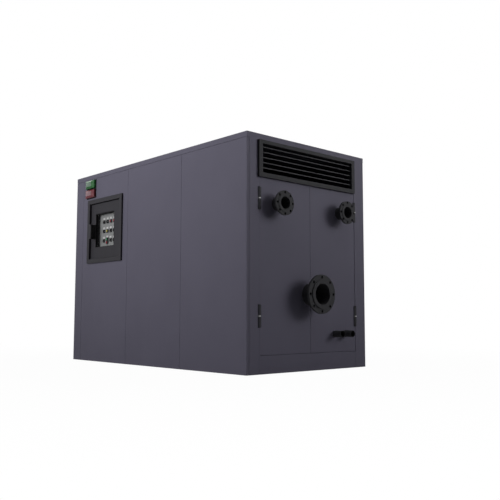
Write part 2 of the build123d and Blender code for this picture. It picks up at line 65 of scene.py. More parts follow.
# Metres in a millimetre, for the record's hole patterns
MM = 0.001

# Camera, at the photograph's viewing angle
CAMERA_PLACE = (5.5711, -4.5303, 0.4763)
CAMERA_AZIMUTH = 47.5125
CAMERA_ELEVATION = -5.4225
CAMERA_ROLL = 0.0886
CAMERA_LENS = 50.0
CAMERA_SENSOR = 36.0

# Soft lights: name, place, point they face, side, spread in degrees and power
LIGHTS = [
    ("control_side_softbox", (-1.45, -6.4, 3.5), (0.4, -0.76, 4.2), 5.0, 110.0, 195.0),
    ("service_end_softbox", (6.9, 4.5, 4.6), (1.416, -0.15, 3.0), 5.5, 54.0, 61.5),
    ("overhead_softbox", (3.1, 0.35, 5.2), (2.7, 0.35, 0.0), 2.6, 120.0, 12.0),
    ("back_softbox", (0.6, 5.2, 4.2), (0.0, 0.76, 1.2), 3.0, 180.0, 120.0),
    ("plain_end_softbox", (-6.0, 0.8, 3.8), (-1.416, 0.0, 1.2), 3.0, 180.0, 70.0),
]

# Studio: the even light, and a floor that shows whiter away from the object
WHITE = (1.0, 1.0, 1.0, 1.0)
WORLD_COLOUR = (0.97, 0.95, 1.05, 1.0)
WORLD_LIGHT = 0.05
FLOOR_HALF = 60.0
FLOOR_COLOUR = (0.32, 0.32, 0.32, 1.0)
FLOOR_ROUGHNESS = 1.0
FLOOR_WHITE_SHARES = (0.98, 1.0)
FLOOR_WHITE_FROM = 2.0
FLOOR_WHITE_TO = 5.0

# Paints: colour, roughness and specular level
PAINTS = {
    "cabinet_paint": ((0.1115, 0.106, 0.142), 0.55, 0.06),
    "dark_paint": ((0.026, 0.026, 0.029), 0.55, 0.06),
    # Lighter copy of dark_paint for the louvre blades: a painted highlight along their edges
    "blade_with_painted_highlight": ((0.052, 0.052, 0.057), 0.55, 0.06),
    "hinge_paint": ((0.031, 0.0305, 0.036), 0.55, 0.06),
    "pipe_paint": ((0.036, 0.036, 0.039), 0.6, 0.06),
    # Lighter copy of pipe_paint for the drain stubs: painted light on their lit tops
    "stub_with_painted_light": ((0.05, 0.05, 0.054), 0.6, 0.06),
    "frame_paint": ((0.012, 0.012, 0.013), 0.6, 0.04),
    "control_paint": ((0.0355, 0.0344, 0.0394), 0.55, 0.06),
    # Darker copy of control_paint for the recessed control door: painted shade from the surround
    "leaf_with_painted_shade": ((0.0325, 0.0313, 0.0364), 0.55, 0.06),
    "fascia_paint": ((0.235, 0.24, 0.24), 0.5, 0.1),
}

# Plastics and black finishes: colour, roughness and specular level
PLASTICS = {
    "black_plastic": ((0.012, 0.012, 0.013), 0.45, 0.1),
    # Black of the window's lining and the lamps' gaskets, also used as painted shade in the window's top band,
    # the drain stubs and the bolt holes
    "black_rubber_and_shade": ((0.008, 0.008, 0.009), 0.7, 0.08),
    "red_plastic": ((0.33, 0.02, 0.035), 0.3, 0.2),
    "yellow_plastic": ((0.5, 0.42, 0.05), 0.3, 0.2),
    "green_plastic": ((0.02, 0.26, 0.1), 0.3, 0.2),
    "green_lens": ((0.025, 0.125, 0.035), 0.25, 0.06),
    "red_lens": ((0.16, 0.036, 0.046), 0.25, 0.06),
    "white_plate": ((0.55, 0.55, 0.55), 0.4, 0.2),
    "green_plate": ((0.115, 0.18, 0.135), 0.35, 0.2),
    "red_plate": ((0.2, 0.115, 0.13), 0.35, 0.2),
}

# Bare steels by colour, and the clear pane
STEELS = {"bright_steel": (0.12, 0.12, 0.125), "stud_steel": (0.5, 0.5, 0.51)}
STEEL_ROUGHNESSES = (0.25, 0.4)
PANE_COLOUR = (0.2, 0.21, 0.22)
PANE_ROUGHNESSES = (0.03, 0.12)
PANE_SHARE = 0.012

# Nodes with a shade of their own; the drain stubs and louvre blades get painted light, the control door
# painted shade
NODE_FINISHES = {
    "drain_stub_front": "stub_with_painted_light",
    "drain_stub_rear": "stub_with_painted_light",
    "louvre_blades": "blade_with_painted_highlight",
    "hinges_front": "hinge_paint",
    "hinges_rear": "hinge_paint",
    "control_door": "leaf_with_painted_shade",
}

# Patterns in the finishes: size of the blotches, stretch, depth of relief, steps of roughness and tones
NOISE_DETAIL = 3.0
FINE_DETAIL = 1.0
NO_STRETCH = (1.0, 1.0, 1.0)
NOISE_SHARES = (0.3, 0.7)
PAINT_CLOUD = 0.45
PAINT_CLOUD_SHARES = (0.975, 1.025)
PAINT_SPECK = 0.0012
PAINT_SPECK_SHARES = (0.5, 0.8)
PAINT_SPECK_MOST_SHARE = 0.35
PAINT_SPECK_TONE_SHARE = 1.35
PAINT_RUB = 0.06
PAINT_RUB_STRETCH = (1.0, 1.0, 0.25)
PAINT_RUB_STEP = 0.025
PAINT_PEEL = 0.0016
PAINT_PEEL_DEPTH = 0.00002
PLASTIC_CLOUD = 0.03
PLASTIC_CLOUD_SHARES = (0.9, 1.1)
PLASTIC_RUB = 0.01
PLASTIC_RUB_STEP = 0.06
PLASTIC_GRAIN = 0.0006
PLASTIC_GRAIN_DEPTH = 0.00001
STEEL_GROOVE = 0.0008
STEEL_GROOVE_STRETCH = (0.05, 0.05, 1.0)
STEEL_GROOVE_SHARES = (0.8, 1.1)
STEEL_GROOVE_DEPTH = 0.00002
STEEL_RUB = 0.004
PANE_WIPE = 0.05
PANE_WIPE_STRETCH = (1.0, 1.0, 4.0)

# Sockets of the nodes that mix two colours and that map a range
MIX_FACTOR = 0
MIX_FIRST = 6
MIX_SECOND = 7
MIX_RESULT = 2
RANGE_SOCKETS = ("From Min", "From Max", "To Min", "To Max")

# Faces that carry the added pieces
CONTROL_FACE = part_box("front_panel_left")[0].y
SERVICE_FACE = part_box("service_header")[1].x
DOOR_RECESS = SERVICE_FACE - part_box("service_door_front")[1].x

# Corners of a rectangle by the ends of its spans, steps in round shapes, and the angle of a sharp edge
CORNERS = ((0, 0), (1, 0), (1, 1), (0, 1))
ROUND_STEPS = 3
ROUND_SHARE = 0.5
CORNER_STEPS = 6
TURN_STEPS = 96
SHARP_ANGLE = 40.0

# Window lining with its thicker top band of painted shade, and door sill
LINING = 0.002
LINING_PROUD = 0.001
LINING_SHADE_DROP = 0.005
LINING_SHADE_LIP = 0.007
LINING_ROUND = 0.0006
SURROUND_BORDER = 0.044
SILL_DEPTH = 0.005
SILL_GAP = 0.0008
SILL_SET_BACK = 0.0005
SILL_ROUND = 0.0004

# Pipe collars, black linings that paint shade in the drain stubs and bolt holes, and weld beads
DRAIN_STUBS = ("drain_stub_front", "drain_stub_rear")
COLLAR_WIDTH = 0.006
COLLAR_HEIGHT = 0.004
STUB_WALL = 0.0029
# Black lining on the end and in the bore of each drain stub: painted shade
STUB_SHADE_THICKNESS = 0.0005
STUB_SHADE_DEPTH = 0.12
STUB_SHADE_MARGIN = 0.0006
# Black sleeves with a lip in the flanges' bolt holes: painted shade
SLEEVE = 0.0004
SLEEVE_DEPTH = 0.016
SLEEVE_LIP = 0.003
BEAD = 0.005
BEAD_STEPS = 10
RIPPLE_SHARE = 0.14
RIPPLE_LENGTH = 0.006
RIPPLE_STEPS = 4

# Hinge leaves and studs
HINGES = ("hinges_front", "hinges_rear")
HINGE_LEAF_REACH = 0.005
HINGE_LEAF_TRIM = 0.003
HINGE_LEAF_HEIGHT = 0.003
HINGE_LEAF_ROUND = 0.0008
STUD_RADIUS = 0.005
STUD_HEIGHT = 0.004
STUD_SUNK = 0.002
STUD_CORE = 0.0005
WASHER_HEIGHT = 0.008

# Switches: bodies, knobs and the pair of buttons that share a body
SWITCH_SIZE = 0.03
SWITCH_WIDE = 0.034
SWITCH_TALL = 0.036
# Bodies sit this far to the right so that their black covers the switches' shadow: painted shade
SWITCH_SHADOW_SHIFT = 0.004
SWITCH_SUNK = 0.007
SWITCH_ROWS = 3
SWITCH_COLUMNS = 4
SWITCH_ROUND = 0.0025
PAIR_PLACE = (2, 1)
PAIR_SPACING = 0.027
PAIR_STRETCH = 0.01
PAIR_DROP = 0.004
PAIR_TALL = SWITCH_TALL + PAIR_SPACING + PAIR_STRETCH
KNOB_CORE = 0.001
KNOB_RADIUS = 0.0125
KNOB_HEIGHT = 0.004
GRIP_WIDTH = 0.009
GRIP_LENGTH = 0.024
GRIP_ROUND = 0.002
MARK_WIDTH = 0.0016
MARK_LENGTH = 0.009
MARK_HEIGHT = 0.0004
MARK_ROUND = MARK_HEIGHT / 3

# Coloured caps: finish of each node, and the rows and columns of the switches that carry it
CAPS = {
    "switch_caps_red": ("red_plastic", [(0, 2), (0, 3), PAIR_PLACE]),
    "switch_cap_yellow": ("yellow_plastic", [(1, 1)]),
    "switch_cap_green": ("green_plastic", [PAIR_PLACE]),
}
CAP_WIDTH = 0.016
CAP_ROUND = 0.0022
CAP_DIP = 0.0012

# Bare plates over the switches, and the rounding of all plates
PLATE_SIZE = (0.036, 0.02)
PLATE_SHIFT = -0.004
PLATE_RISE = 0.034
PAIR_PLATE_RISE = 0.009
PLATE_THICKNESS = 0.0016
PLATE_ROUND = 0.0006

# Lamps: finishes of each one's lens and plate, and the sizes of lenses, plates and gaskets; the black gaskets
# are partly painted shade at the lamps' feet
LAMPS = {"run_lamp": ("green_lens", "green_plate"), "fault_lamp": ("red_lens", "red_plate")}
LAMP_STRAIGHT = 0.024
LAMP_RAISE = 0.011
LAMP_BEVELS = (0.038, 0.018)
LAMP_ROUND = 0.0015
LAMP_PLATE_MARGIN = 0.002
LAMP_PLATE_THICKNESS = 0.0008
GASKET_WIDTH = 0.007
GASKET_HEIGHT = 0.003

# Handle of the control door
HANDLE_RISE = 0.008
HANDLE_FOOT = 0.007
HANDLE_NECK = 0.003
HANDLE_ROUND = 0.005
HANDLE_PLATE_MARGIN = 0.006
HANDLE_PLATE_THICKNESS = 0.0015


class Finish:
    """A material built from nodes, in the coordinates of the whole object."""

    def __init__(self, name):
        self.material = bpy.data.materials.new(name)
        self.material.use_nodes = True
        self.tree = self.material.node_tree
        self.shader = self.tree.nodes["Principled BSDF"]
        self.place = self.add("ShaderNodeTexCoord").outputs["Object"]
        self.normal = None

    def add(self, kind, **settings):
        """A new node with its settings."""
        node = self.tree.nodes.new(kind)
        for key, value in settings.items():
            setattr(node, key, value)
        return node

    def feed(self, value, socket):
        """Links an output to a socket, or sets a plain value on it."""
        if isinstance(value, bpy.types.NodeSocket):
            self.tree.links.new(value, socket)
        else:
            socket.default_value = value

    def feed_colour(self, colour, socket):
        """Links a colour to a socket, or sets a plain one on it."""
        self.feed((*colour, 1.0) if isinstance(colour, tuple) else colour, socket)

    def noise(self, size, detail=NOISE_DETAIL, stretch=NO_STRETCH):
        """Noise with blotches of about the size given."""
        mapping = self.add("ShaderNodeMapping")
        self.feed(self.place, mapping.inputs["Vector"])
        mapping.inputs["Scale"].default_value = stretch
        noise = self.add("ShaderNodeTexNoise")
        self.feed(mapping.outputs["Vector"], noise.inputs["Vector"])
        noise.inputs["Scale"].default_value = 1 / size
        noise.inputs["Detail"].default_value = detail
        return noise.outputs["Fac"]

    def between(self, value, low, high, limits=NOISE_SHARES):
        """A number that goes from low to high while the value goes from one limit to the other."""
        node = self.add("ShaderNodeMapRange", interpolation_type="SMOOTHSTEP")
        for number, name in zip((*limits, low, high), RANGE_SOCKETS):
            node.inputs[name].default_value = number
        self.feed(value, node.inputs["Value"])
        return node.outputs["Result"]

    def blend(self, share, first, second):
        """Two colours mixed by a share."""
        node = self.add("ShaderNodeMix", data_type="RGBA")
        self.feed(share, node.inputs[MIX_FACTOR])
        self.feed_colour(first, node.inputs[MIX_FIRST])
        self.feed_colour(second, node.inputs[MIX_SECOND])
        return node.outputs[MIX_RESULT]

    def mottled(self, pattern, colour, shares):
        """A colour that goes from its darker to its lighter tone with a pattern."""
        return self.blend(self.between(pattern, 0.0, 1.0), *[tone(colour, share) for share in shares])

    def bump(self, height, depth):
        """Relief of the depth given, on top of any relief before it."""
        node = self.add("ShaderNodeBump")
        node.inputs["Distance"].default_value = depth
        self.feed(height, node.inputs["Height"])
        if self.normal:
            self.feed(self.normal, node.inputs["Normal"])
        self.normal = node.outputs["Normal"]

    def done(self, colour, roughness, **uniform):
        """Connects the shader; names of uniform values have an underscore for each space."""
        self.feed_colour(colour, self.shader.inputs["Base Color"])
        self.feed(roughness, self.shader.inputs["Roughness"])
        for name, value in uniform.items():
            self.shader.inputs[name.replace("_", " ")].default_value = value
        if self.normal:
            self.feed(self.normal, self.shader.inputs["Normal"])
        return self.material


def tone(colour, share):
    """A colour made lighter or darker."""
    return tuple(part * share for part in colour)


def paint(name, colour, roughness, specular):
    """Powder coat: soft clouds and fine specks of tone over an orange-peel surface."""
    finish = Finish(name)
    base = finish.mottled(finish.noise(PAINT_CLOUD), colour, PAINT_CLOUD_SHARES)
    specks = finish.noise(PAINT_SPECK, FINE_DETAIL)
    specks = finish.between(specks, 0.0, PAINT_SPECK_MOST_SHARE, PAINT_SPECK_SHARES)
    base = finish.blend(specks, base, tone(colour, PAINT_SPECK_TONE_SHARE))
    rubbed = finish.noise(PAINT_RUB, stretch=PAINT_RUB_STRETCH)
    rubbed = finish.between(rubbed, roughness - PAINT_RUB_STEP, roughness + PAINT_RUB_STEP)
    finish.bump(finish.noise(PAINT_PEEL, FINE_DETAIL), PAINT_PEEL_DEPTH)
    return finish.done(base, rubbed, Specular_IOR_Level=specular)


def plastic(name, colour, roughness, specular):
    """Moulded plastic with a fine grain."""
    finish = Finish(name)
    base = finish.mottled(finish.noise(PLASTIC_CLOUD), colour, PLASTIC_CLOUD_SHARES)
    rubbed = finish.noise(PLASTIC_RUB)
    rubbed = finish.between(rubbed, roughness - PLASTIC_RUB_STEP, roughness + PLASTIC_RUB_STEP)
    finish.bump(finish.noise(PLASTIC_GRAIN, FINE_DETAIL), PLASTIC_GRAIN_DEPTH)
    return finish.done(base, rubbed, Specular_IOR_Level=specular)


def bare_steel(name, colour):
    """Turned steel, with fine grooves."""
    finish = Finish(name)
    grooves = finish.noise(STEEL_GROOVE, stretch=STEEL_GROOVE_STRETCH)
    base = finish.mottled(grooves, colour, STEEL_GROOVE_SHARES)
    finish.bump(grooves, STEEL_GROOVE_DEPTH)
    rubbed = finish.between(finish.noise(STEEL_RUB), *STEEL_ROUGHNESSES)
    return finish.done(base, rubbed, Metallic=1.0)


def clear_sheet(name):
    """A clear plastic pane, with a faint haze of wiping marks."""
    finish = Finish(name)
    wiped = finish.noise(PANE_WIPE, stretch=PANE_WIPE_STRETCH)
    return finish.done(PANE_COLOUR, finish.between(wiped, *PANE_ROUGHNESSES), Alpha=PANE_SHARE)


def make_finishes():
    """Every finish, by its name."""
    finishes = {name: paint(name, *values) for name, values in PAINTS.items()}
    finishes.update({name: plastic(name, *values) for name, values in PLASTICS.items()})
    finishes.update({name: bare_steel(name, colour) for name, colour in STEELS.items()})
    finishes["clear_pane"] = clear_sheet("clear_pane")
    return finishes


FINISHES = make_finishes()


def control_side(across, up, out):
    """A place on the control side, by its distance out of the panels."""
    return Vector((across, CONTROL_FACE - out, up))


def service_end(across, up, out):
    """A place at the service end, by its distance out of the header."""
    return Vector((SERVICE_FACE + out, across, up))


def spans(node):
    """A node's ends across, up and out of the control side."""
    low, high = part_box(node)
    return (low.x, high.x), (low.z, high.z), (CONTROL_FACE - high.y, CONTROL_FACE - low.y)


def end_spans(node):
    """A node's ends across, up and out of the service end."""
    low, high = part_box(node)
    return (low.y, high.y), (low.z, high.z), (low.x - SERVICE_FACE, high.x - SERVICE_FACE)


def shrunk(span, amount):
    """A span made shorter by the same amount at both ends."""
    return (span[0] + amount, span[1] - amount)


def around(middle, length):
    """A span of the given length about its middle."""
    return (middle - length / 2, middle + length / 2)


def middle_of(span):
    """The middle of a span."""
    return (span[0] + span[1]) / 2


def length_of(span):
    """The length of a span."""
    return span[1] - span[0]


def swung(across, up, radius, turn):
    """A place at a radius and a turn about a middle."""
    return across + radius * math.cos(turn), up + radius * math.sin(turn)


def stitch(bm, rings, closed=True):
    """Faces between each ring of points and the next, and from the last to the first if closed."""
    following_rings = rings[1:] + rings[:1] if closed else rings[1:]
    for ring, after in zip(rings, following_rings):
        for n, point in enumerate(ring):
            following = (n + 1) % len(ring)
            bm.faces.new((point, ring[following], after[following], after[n]))


def round_edges(bm, edges, rounding):
    """Rounds the edges given."""
    bmesh.ops.bevel(bm, geom=edges, offset=rounding, segments=ROUND_STEPS, profile=ROUND_SHARE,
                    affect="EDGES")


def block(bm, side, across, up, out, rounding):
    """A block with rounded edges between the ends given for each direction."""
    points = bmesh.ops.create_cube(bm, size=1.0)["verts"]
    ends = (across, up, out)
    for point in points:
        # The unit cube's corners, from minus to plus a half, become shares of each span
        shares = [part + 0.5 for part in point.co]
        point.co = side(*[low + share * (high - low) for share, (low, high) in zip(shares, ends)])
    edges = list(dict.fromkeys(edge for point in points for edge in point.link_edges))
    round_edges(bm, edges, rounding)


def turned(bm, side, across, up, outline):
    """A closed outline of (radius, out) points turned about a line out of the side."""
    rings = []
    for n in range(TURN_STEPS):
        turn = n * math.tau / TURN_STEPS
        rings.append([bm.verts.new(side(*swung(across, up, radius, turn), out)) for radius, out in outline])
    stitch(bm, rings)


def border(bm, side, across, up, outline):
    """A closed outline of (outward, out) points carried round a rectangle."""
    rings = []
    for right, top in CORNERS:
        steps = (2 * right - 1, 2 * top - 1)
        ring = []
        for outward, out in outline:
            place = (across[right] + steps[0] * outward, up[top] + steps[1] * outward, out)
            ring.append(bm.verts.new(side(*place)))
        rings.append(ring)
    stitch(bm, rings)


def quarter_round(width, height):
    """Outline of a strip with a rounded outer corner, from its inner foot."""
    turns = [n * math.pi / 2 / CORNER_STEPS for n in range(CORNER_STEPS + 1)]
    return [(0.0, 0.0)] + [(width * math.cos(turn), height * math.sin(turn)) for turn in turns]


def finish_piece(name, bm, finish, body="cabinet"):
    """A mesh made into a piece that rides on a body."""
    bmesh.ops.recalc_face_normals(bm, faces=bm.faces[:])
    mesh = bpy.data.meshes.new(name)
    bm.to_mesh(mesh)
    bm.free()
    mesh.shade_smooth()
    mesh.set_sharp_from_angle(angle=math.radians(SHARP_ANGLE))
    mesh.materials.append(FINISHES[finish])
    piece = bpy.data.objects.new(name, mesh)
    bpy.context.scene.collection.objects.link(piece)
    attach(piece, body)
    return piece


def window_lining_and_shade():
    """A lining in the window of the control door, thicker along the top and with a lip there; the black top
    band is painted shade under the window's head.
    """
    bm = bmesh.new()
    across, up, _ = spans("control_fascia")
    back = spans("control_door_window")[2][1]
    front = spans("control_door")[2][1] + LINING_PROUD
    border(bm, control_side, across, up, [(0.0, back), (-LINING, back), (-LINING, front), (0.0, front)])
    # Black band along the top of the fascia: painted shade under the window's head
    shade_band = (up[1] - LINING_SHADE_DROP, up[1] + LINING_SHADE_LIP)
    block(bm, control_side, shrunk(across, LINING / 2), shade_band, (back, front - LINING_PROUD / 2), LINING_ROUND)
    finish_piece("window_lining_and_shade", bm, "black_rubber_and_shade", "control_door")


def door_sill():
    """A strip on the surround that closes the gap under the control door."""
    opening = shrunk(spans("control_surround")[0], SURROUND_BORDER)
    bottom = spans("control_surround")[1][0] + SURROUND_BORDER
    top = spans("control_door")[1][0] - SILL_GAP
    front = spans("control_door")[2][1] - SILL_SET_BACK
    bm = bmesh.new()
    block(bm, control_side, opening, (bottom, top), (front - SILL_DEPTH, front), SILL_ROUND)
    finish_piece("door_sill", bm, "control_paint")


def pipe_places():
    """Each pipe's name, middle across and up, and radius."""
    places = []
    for name in ("large_pipe", *DRAIN_STUBS):
        across, up, _ = end_spans(name)
        places.append((name, middle_of(across), middle_of(up), length_of(up) / 2))
    across, up, _ = end_spans("upper_pipes")
    radius = length_of(up) / 2
    for name, middle in (("upper_pipe_front", across[0] + radius), ("upper_pipe_rear", across[1] - radius)):
        places.append((name, middle, middle_of(up), radius))
    return places


def pipe_collars():
    """A painted collar on the door round each pipe."""
    corner = quarter_round(COLLAR_WIDTH, COLLAR_HEIGHT)
    for name, across, up, radius in pipe_places():
        bm = bmesh.new()
        outline = [(radius + outward, out - DOOR_RECESS) for outward, out in corner]
        turned(bm, service_end, across, up, outline)
        finish_piece(name + "_collar", bm, "cabinet_paint")


def stub_bore_shades():
    """Black over the end ring and inside the bore of each drain stub, as a lining: painted shade for the
    stub's mouth.
    """
    for name, across, up, radius in pipe_places():
        if name not in DRAIN_STUBS:
            continue
        end = end_spans(name)[2][1]
        deep = end - STUB_SHADE_DEPTH
        top = end + STUB_SHADE_THICKNESS
        rim = radius - STUB_SHADE_MARGIN
        bore = radius - STUB_WALL
        inner = bore - STUB_SHADE_THICKNESS
        outline = [(bore, deep), (bore, end), (rim, end), (rim, top), (inner, top), (inner, deep)]
        bm = bmesh.new()
        turned(bm, service_end, across, up, outline)
        finish_piece(name + "_bore_shade", bm, "black_rubber_and_shade")


def hole_shades():
    """A black sleeve with a lip in every bolt hole of the flanges: painted shade that makes the holes dark."""
    for mount in frame["record"]["mounts"]:
        if mount["kind"] != "bolt_pattern":
            continue
        place, across, up = mount["pos_m"]
        out = place - SERVICE_FACE
        deep = out - SLEEVE_DEPTH
        top = out + SLEEVE
        radius = mount["dims"]["hole_r_mm"] * MM
        lip = radius + SLEEVE_LIP
        inner = radius - SLEEVE
        ring = mount["dims"]["pcd_mm"] * MM / 2
        outline = [(radius, out), (lip, out), (lip, top), (inner, top), (inner, deep), (radius, deep)]
        bm = bmesh.new()
        for n in range(mount["dims"]["count"]):
            turn = n * math.tau / mount["dims"]["count"]
            turned(bm, service_end, *swung(across, up, ring, turn), outline)
        finish_piece(mount["name"] + "_shades", bm, "black_rubber_and_shade")


def washer_levels():
    """The heights of the lower and the upper hinge washers."""
    return shrunk(end_spans("hinge_washers")[1], WASHER_HEIGHT / 2)


def hinge_leaves():
    """A thin leaf on the door side of each hinge."""
    levels = washer_levels()
    reaches = ((0, HINGE_LEAF_REACH), (-HINGE_LEAF_REACH, 0))
    out = (-DOOR_RECESS, HINGE_LEAF_HEIGHT)
    bm = bmesh.new()
    for node, reach in zip(HINGES, reaches):
        across, up, _ = end_spans(node)
        leaf = (across[0] + reach[0], across[1] + reach[1])
        length = 2 * (up[1] - levels[1] - HINGE_LEAF_TRIM)
        for level in levels:
            block(bm, service_end, leaf, around(level, length), out, HINGE_LEAF_ROUND)
    finish_piece("hinge_leaves", bm, "hinge_paint")


def hinge_studs():
    """A bright stud on the washer of each hinge."""
    base = end_spans("hinge_washers")[2][1] - STUD_SUNK
    tip = base + STUD_SUNK + STUD_HEIGHT
    corner = quarter_round(STUD_HEIGHT, STUD_HEIGHT)[1:]
    outline = [(STUD_CORE, base), (STUD_RADIUS, base)]
    outline += [(STUD_RADIUS - STUD_HEIGHT + outward, tip - STUD_HEIGHT + high) for outward, high in corner]
    outline += [(STUD_CORE, tip)]
    bm = bmesh.new()
    for node in HINGES:
        for level in washer_levels():
            turned(bm, service_end, middle_of(end_spans(node)[0]), level, outline)
    finish_piece("hinge_studs", bm, "stud_steel")


def weld_bead(bm, across, up, radius, out):
    """A rippled bead round a pipe, behind its flange."""
    ripples = round(math.tau * radius / RIPPLE_LENGTH)
    steps = ripples * RIPPLE_STEPS
    rings = []
    for n in range(steps):
        turn = n * math.tau / steps
        size = BEAD * (1 + RIPPLE_SHARE * math.sin(turn * ripples))
        ring = []
        for point in range(BEAD_STEPS):
            roll = point * math.tau / BEAD_STEPS
            place = swung(across, up, radius + size * math.cos(roll), turn)
            ring.append(bm.verts.new(service_end(*place, out + size * math.sin(roll))))
        rings.append(ring)
    stitch(bm, rings)


def weld_beads():
    """The welds between the pipes and the backs of their flanges."""
    for name, across, up, radius in pipe_places():
        if name in DRAIN_STUBS:
            continue
        flange = "large_flange" if name == "large_pipe" else "upper_flanges"
        bm = bmesh.new()
        weld_bead(bm, across, up, radius, end_spans(flange)[2][0])
        finish_piece(name + "_weld", bm, "pipe_paint")


def switch_places():
    """Row, column and middle of every switch."""
    across, up, _ = spans("switch_bodies")
    columns = shrunk(across, SWITCH_SIZE / 2)
    rows = (up[0] + (SWITCH_SIZE + PAIR_SPACING) / 2, up[1] - SWITCH_SIZE / 2)
    places = []
    for row in range(SWITCH_ROWS):
        for column in range(SWITCH_COLUMNS):
            x = columns[0] + column * length_of(columns) / (SWITCH_COLUMNS - 1)
            z = rows[1] - row * length_of(rows) / (SWITCH_ROWS - 1)
            places.append((row, column, x, z))
    return places


def knob(bodies, marks, x, z, front, tip):
    """A turning knob: a round skirt, a grip across it and a white mark on the grip."""
    corner = quarter_round(GRIP_ROUND, KNOB_HEIGHT)[1:]
    skirt = [(KNOB_CORE, front - KNOB_HEIGHT)]
    skirt += [(KNOB_RADIUS - GRIP_ROUND + outward, front + out) for outward, out in corner]
    skirt += [(KNOB_CORE, front + KNOB_HEIGHT)]
    turned(bodies, control_side, x, z, skirt)
    grip_out = (front, tip - MARK_HEIGHT / 2)
    block(bodies, control_side, around(x, GRIP_WIDTH), around(z, GRIP_LENGTH), grip_out, GRIP_ROUND)
    mark_top = z + GRIP_LENGTH / 2 - GRIP_ROUND
    mark_up = (mark_top - MARK_LENGTH, mark_top)
    block(marks, control_side, around(x, MARK_WIDTH), mark_up, (tip - MARK_HEIGHT, tip), MARK_ROUND)


def switches():
    """The black bodies, with a turning knob on each that has no cap."""
    capped = [place for _, places in CAPS.values() for place in places]
    back = spans("control_fascia")[2][1]
    front = spans("switch_caps_red")[2][0] - SWITCH_SUNK
    tip = spans("switch_bodies")[2][1] - SWITCH_SUNK
    bodies = bmesh.new()
    marks = bmesh.new()
    for row, column, x, z in switch_places():
        # Shifted right so the black body stands where the switch's shadow falls: painted shade
        across = around(x + SWITCH_SHADOW_SHIFT, SWITCH_WIDE)
        up = around(z - PAIR_DROP, PAIR_TALL) if (row, column) == PAIR_PLACE else around(z, SWITCH_TALL)
        block(bodies, control_side, across, up, (back, front), SWITCH_ROUND)
        if (row, column) not in capped:
            knob(bodies, marks, x, z, front, tip)
    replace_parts(finish_piece("switches", bodies, "black_plastic"), "switch_bodies")
    finish_piece("switch_marks", marks, "white_plate")


def cap(bm, across, up, out):
    """A pushbutton cap with a shallow dip for the finger."""
    block(bm, control_side, across, up, out, CAP_ROUND)
    bm.faces.ensure_lookup_table()
    front = control_side(middle_of(across), middle_of(up), out[1])
    face = min(bm.faces, key=lambda one: (one.calc_center_median() - front).length)
    bmesh.ops.inset_individual(bm, faces=[face], thickness=CAP_ROUND)
    for point in face.verts:
        point.co.y += CAP_DIP


def switch_caps():
    """The coloured pushbutton caps; in the pair the green one is above the red one."""
    place_of = {(row, column): (x, z) for row, column, x, z in switch_places()}
    height = length_of(spans("switch_cap_yellow")[0])
    apart = (PAIR_SPACING + PAIR_STRETCH) / 2
    for node, (finish, places) in CAPS.items():
        out = [level - SWITCH_SUNK for level in spans(node)[2]]
        bm = bmesh.new()
        for place in places:
            x, z = place_of[place]
            if place == PAIR_PLACE:
                z += (apart if node == "switch_cap_green" else -apart) - PAIR_DROP
            cap(bm, around(x, CAP_WIDTH), around(z, height), out)
        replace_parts(finish_piece(node + "_dished", bm, finish), node)


def switch_plates():
    """A bare white plate over every switch."""
    back = spans("control_fascia")[2][1]
    out = (back, back + PLATE_THICKNESS)
    bm = bmesh.new()
    for row, column, x, z in switch_places():
        across = around(x + PLATE_SHIFT, PLATE_SIZE[0])
        rise = PLATE_RISE + (PAIR_PLATE_RISE if (row, column) == PAIR_PLACE else 0)
        block(bm, control_side, across, around(z + rise, PLATE_SIZE[1]), out, PLATE_ROUND)
    finish_piece("switch_plates", bm, "white_plate")


def lamp_lens(node, finish):
    """A lens with straight sides at its foot and a bevel up to its face."""
    across, up, out = spans(node)
    levels = [(0.0, 0.0, out[0]), (0.0, 0.0, out[0] + LAMP_STRAIGHT), (*LAMP_BEVELS, out[1] + LAMP_RAISE)]
    bm = bmesh.new()
    rings = []
    for side_in, edge_in, level in levels:
        wide = shrunk(across, side_in)
        tall = shrunk(up, edge_in)
        rings.append([bm.verts.new(control_side(wide[right], tall[top], level)) for right, top in CORNERS])
    stitch(bm, rings, closed=False)
    bm.faces.new(rings[-1])
    bm.faces.new(rings[0][::-1])
    round_edges(bm, bm.edges[:], LAMP_ROUND)
    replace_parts(finish_piece(node + "_lens", bm, finish), node)


def lamp_plate(node, finish):
    """A bare plate on the face of a lamp."""
    across, up, out = spans(node)
    face = out[1] + LAMP_RAISE
    plate_across = shrunk(across, LAMP_BEVELS[0] + LAMP_PLATE_MARGIN)
    plate_up = shrunk(up, LAMP_BEVELS[1] + LAMP_PLATE_MARGIN)
    plate_out = (face - LAMP_PLATE_THICKNESS, face + LAMP_PLATE_THICKNESS)
    bm = bmesh.new()
    block(bm, control_side, plate_across, plate_up, plate_out, PLATE_ROUND)
    finish_piece(node + "_plate", bm, finish)


def lamp_foot_ring_and_shade(node):
    """A black gasket round the foot of a lamp, partly a real gasket and partly painted shade for the lamp's
    shadow at its foot.
    """
    across, up, _ = spans(node)
    bm = bmesh.new()
    border(bm, control_side, across, up, quarter_round(GASKET_WIDTH, GASKET_HEIGHT))
    finish_piece(node + "_foot_ring_and_shade", bm, "black_rubber_and_shade")


def signal_lamps():
    """Every lamp's lens and plate, and then the gaskets."""
    for node, (lens, plate) in LAMPS.items():
        lamp_lens(node, lens)
        lamp_plate(node, plate)
    for node in LAMPS:
        lamp_foot_ring_and_shade(node)


